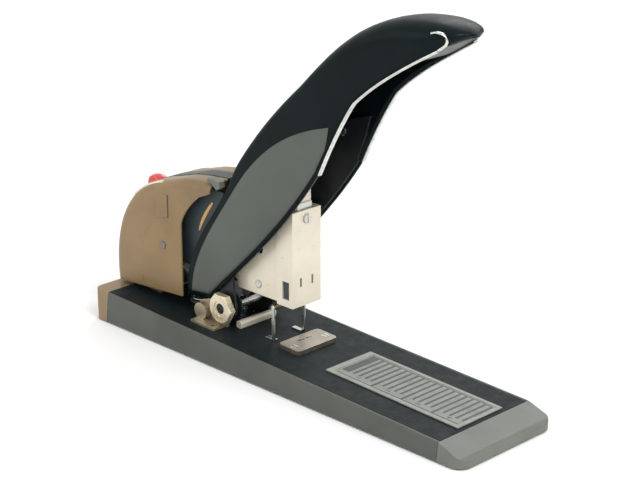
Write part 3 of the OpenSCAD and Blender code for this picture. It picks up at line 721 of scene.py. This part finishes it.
def build_axle_ends():
    """Domed ends of the main axle with a centre hole, seen inside the nuts."""
    low, high = (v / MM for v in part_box("main_axle"))
    cx, cz = (low.x + high.x) / 2, (low.z + high.z) / 2
    radius = (high.x - low.x) / 2
    bm = bmesh.new()
    for sign, face in ((-1, low.y), (1, high.y)):
        profile = [(radius - 0.02, -2.0), (radius - 0.02, 0.0), (radius - 0.3, 0.3), (radius * 0.55, 0.62),
                   (0.8, 0.7), (0.78, -0.4), (0.02, -0.4)]
        angles = [2 * math.pi * k / AXLE_SIDES for k in range(AXLE_SIDES)]
        rings = []
        for r, out in profile:
            rings.append([bm.verts.new(at(cx + r * math.cos(a), face + sign * out, cz + r * math.sin(a)))
                          for a in angles])
        loft(bm, rings, closed=True)
        bm.faces.new(rings[-1])
        bm.faces.new(rings[0])
    bmesh.ops.recalc_face_normals(bm, faces=bm.faces)
    piece("axle_ends", bm, "bracket_black", "base")


build_axle_ends()


# ---------------------------------------------------------------- springs
WIRE_SIDES, PER_TURN, CLOSED_END = 10, 28, 0.8


def helix(name, x, z0, z1, coil_r, wire, turns, body, node):
    """A coil spring along Z on the middle plane, with closed ends; wire is the wire's radius."""
    bm = bmesh.new()
    rings = []
    for i in range(turns * PER_TURN + 1):
        a = 2 * math.pi * i / PER_TURN
        share = min(1.0, max(0.0, (i / PER_TURN - CLOSED_END) / (turns - 2 * CLOSED_END)))
        z = z0 + wire + (z1 - z0 - 2 * wire) * share
        out = Vector((math.cos(a), math.sin(a), 0))
        ring = []
        for k in range(WIRE_SIDES):
            b = 2 * math.pi * k / WIRE_SIDES
            ring.append(bm.verts.new((Vector((x, 0, z)) + out * (coil_r + wire * math.cos(b))
                                      + Vector((0, 0, wire * math.sin(b)))) * MM))
        rings.append(ring)
    loft(bm, rings, closed=True)
    bm.faces.new(rings[0])
    bm.faces.new(reversed(rings[-1]))
    bmesh.ops.recalc_face_normals(bm, faces=bm.faces)
    return piece(name, bm, "spring_steel", body, node)


LIFT_X, RAM_SPRING_X = -100, -9.25
low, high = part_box("head_lift_spring")
spring = helix("lift_coil", LIFT_X, low.z / MM, high.z / MM, 7, 0.8, 7, "base", "head_lift_spring")
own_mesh(spring)
low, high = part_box("ram_spring")
spring = helix("ram_coil", RAM_SPRING_X, low.z / MM, high.z / MM, 3.25, 0.55, 7, "head", "ram_spring")
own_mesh(spring)


# ---------------------------------------------------------------- floor, lights, camera
def ground():
    """The plain pale floor, just under the feet."""
    bpy.ops.mesh.primitive_plane_add(size=6, location=(0, 0, -0.0001))
    floor = bpy.context.object
    floor.name = "floor"
    mat = bpy.data.materials.new("floor")
    mat.use_nodes = True
    shader = mat.node_tree.nodes["Principled BSDF"]
    shader.inputs["Base Color"].default_value = (0.9, 0.9, 0.9, 1)
    shader.inputs["Roughness"].default_value = 0.9
    shader.inputs["Specular IOR Level"].default_value = 0.1
    floor.data.materials.append(mat)


def area_light(name, place, target, size, power):
    """A soft white light at place, turned to target."""
    data = bpy.data.lights.new(name, "AREA")
    data.shape = "RECTANGLE"
    data.size, data.size_y = size
    data.energy = power
    obj = bpy.data.objects.new(name, data)
    obj.location = place
    obj.rotation_euler = (Vector(target) - Vector(place)).to_track_quat("-Z", "Y").to_euler()
    bpy.context.scene.collection.objects.link(obj)


ground()
area_light("key", (1.1, -0.1, 1.3), (0, 0, 0.08), (0.9, 0.9), 16)
area_light("fill", (-0.9, -1.3, 0.9), (0, 0, 0.08), (1.2, 1.0), 5)
area_light("back", (-0.5, 1.4, 1.1), (0, 0, 0.1), (1.2, 0.6), 7)
world = bpy.data.worlds.new("studio")
world.use_nodes = True
world.node_tree.nodes["Background"].inputs["Color"].default_value = (1, 1, 1, 1)
world.node_tree.nodes["Background"].inputs["Strength"].default_value = 0.85
bpy.context.scene.world = world
bpy.context.scene.view_settings.view_transform = "Standard"

camera = bpy.data.objects.new("camera", bpy.data.cameras.new("camera"))
bpy.context.scene.collection.objects.link(camera)
camera.location = (0.7995, -0.7859, 0.4933)
camera.rotation_euler = (Vector((0.01004, 0, 0.09011)) - camera.location).to_track_quat("-Z", "Y").to_euler()
camera.data.lens = 107.95
camera.data.sensor_width = 36
camera.data.clip_start = 0.01
bpy.context.scene.camera = camera

bpy.context.view_layer.update()
